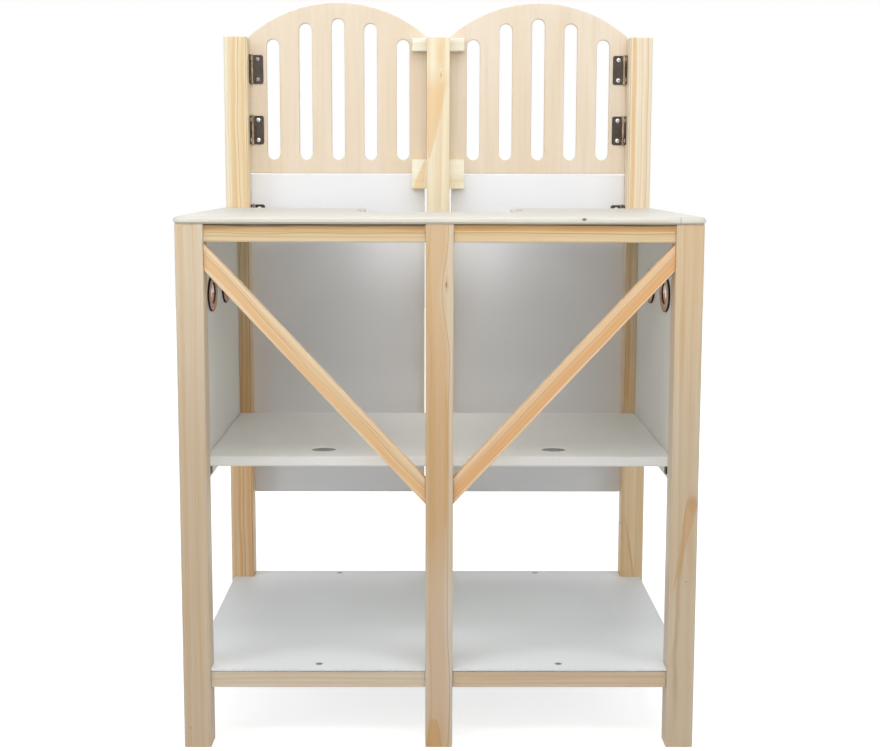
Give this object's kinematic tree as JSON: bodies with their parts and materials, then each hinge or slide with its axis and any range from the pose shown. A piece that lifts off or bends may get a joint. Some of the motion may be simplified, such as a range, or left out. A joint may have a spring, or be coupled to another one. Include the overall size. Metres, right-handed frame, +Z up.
{
  "type": "hobby horse stable",
  "caption": "Wooden toy stable for hobby horses: post frame with table, notch for the heads, shelf with stick holes, bottom board and hinged half doors under arched slotted upper doors.",
  "frame": {"origin": "on the floor, at the bottom centre of the stable's box", "axes": "+Z up, +Y towards the doors at the back where the horses look out, +X to the right of a keeper who faces them"},
  "size_m": [0.754, 0.581, 1.135],
  "materials": {
    "pine": "clear satin lacquer over planed pine",
    "birch_ply": "sanded birch plywood",
    "white_board": "white satin lacquer on board",
    "washed_pine": "white-washed pine under semi-gloss lacquer",
    "bronze_steel": "dark bronze plated steel",
    "screw_steel": "zinc plated",
    "burnt_ply": "laser-cut plywood with dark burnt edges"
  },
  "bodies": {
    "frame": {"front_left_post": "pine", "front_centre_post": "pine", "front_right_post": "pine", "back_left_post": "pine", "back_centre_post": "pine", "back_right_post": "pine", "front_top_rail_left": "pine", "front_top_rail_right": "pine", "front_bottom_rail_left": "pine", "front_bottom_rail_right": "pine", "back_bottom_rail_left": "pine", "back_bottom_rail_right": "pine", "brace_left": "pine", "brace_right": "pine", "table_top": "washed_pine", "shelf": "white_board", "back_shelf_rail": "pine", "shelf_bracket_left": "bronze_steel", "shelf_bracket_right": "bronze_steel", "side_panel_left": "white_board", "side_panel_right": "white_board", "front_tack_ring_left": "burnt_ply", "back_tack_ring_left": "burnt_ply", "front_tack_ring_right": "burnt_ply", "back_tack_ring_right": "burnt_ply", "bottom_board": "white_board", "board_screw_front_left": "screw_steel", "board_screw_front_right": "screw_steel", "board_screw_back_left": "screw_steel", "board_screw_back_right": "screw_steel", "top_door_stop": "pine", "middle_door_stop": "pine", "upper_door_top_hinge_left_frame_leaf": "bronze_steel", "upper_door_top_hinge_left_pin": "bronze_steel", "upper_door_bottom_hinge_left_frame_leaf": "bronze_steel", "upper_door_bottom_hinge_left_pin": "bronze_steel", "lower_door_top_hinge_left_frame_leaf": "bronze_steel", "lower_door_top_hinge_left_pin": "bronze_steel", "lower_door_bottom_hinge_left_frame_leaf": "bronze_steel", "lower_door_bottom_hinge_left_pin": "bronze_steel", "upper_door_top_hinge_right_frame_leaf": "bronze_steel", "upper_door_top_hinge_right_pin": "bronze_steel", "upper_door_bottom_hinge_right_frame_leaf": "bronze_steel", "upper_door_bottom_hinge_right_pin": "bronze_steel", "lower_door_top_hinge_right_frame_leaf": "bronze_steel", "lower_door_top_hinge_right_pin": "bronze_steel", "lower_door_bottom_hinge_right_frame_leaf": "bronze_steel", "lower_door_bottom_hinge_right_pin": "bronze_steel"},
    "upper_left_door": {"upper_door_left": "birch_ply", "upper_door_top_hinge_left_door_leaf": "bronze_steel", "upper_door_bottom_hinge_left_door_leaf": "bronze_steel"},
    "lower_left_door": {"lower_door_left": "white_board", "lower_door_top_hinge_left_door_leaf": "bronze_steel", "lower_door_bottom_hinge_left_door_leaf": "bronze_steel"},
    "upper_right_door": {"upper_door_right": "birch_ply", "upper_door_top_hinge_right_door_leaf": "bronze_steel", "upper_door_bottom_hinge_right_door_leaf": "bronze_steel"},
    "lower_right_door": {"lower_door_right": "white_board", "lower_door_top_hinge_right_door_leaf": "bronze_steel", "lower_door_bottom_hinge_right_door_leaf": "bronze_steel"}
  },
  "joints": [
    {"name": "upper_left_door_swing", "type": "hinge", "parent": "frame", "child": "upper_left_door", "pos_m": [-0.327, 0.2785, 0.9675], "axis": [0, 0, 1], "range_deg": [0, 90]},
    {"name": "lower_left_door_swing", "type": "hinge", "parent": "frame", "child": "lower_left_door", "pos_m": [-0.327, 0.2785, 0.55125], "axis": [0, 0, 1], "range_deg": [0, 90]},
    {"name": "upper_right_door_swing", "type": "hinge", "parent": "frame", "child": "upper_right_door", "pos_m": [0.327, 0.2785, 0.9675], "axis": [0, 0, -1], "range_deg": [0, 90]},
    {"name": "lower_right_door_swing", "type": "hinge", "parent": "frame", "child": "lower_right_door", "pos_m": [0.327, 0.2785, 0.55125], "axis": [0, 0, -1], "range_deg": [0, 90]}
  ]
}
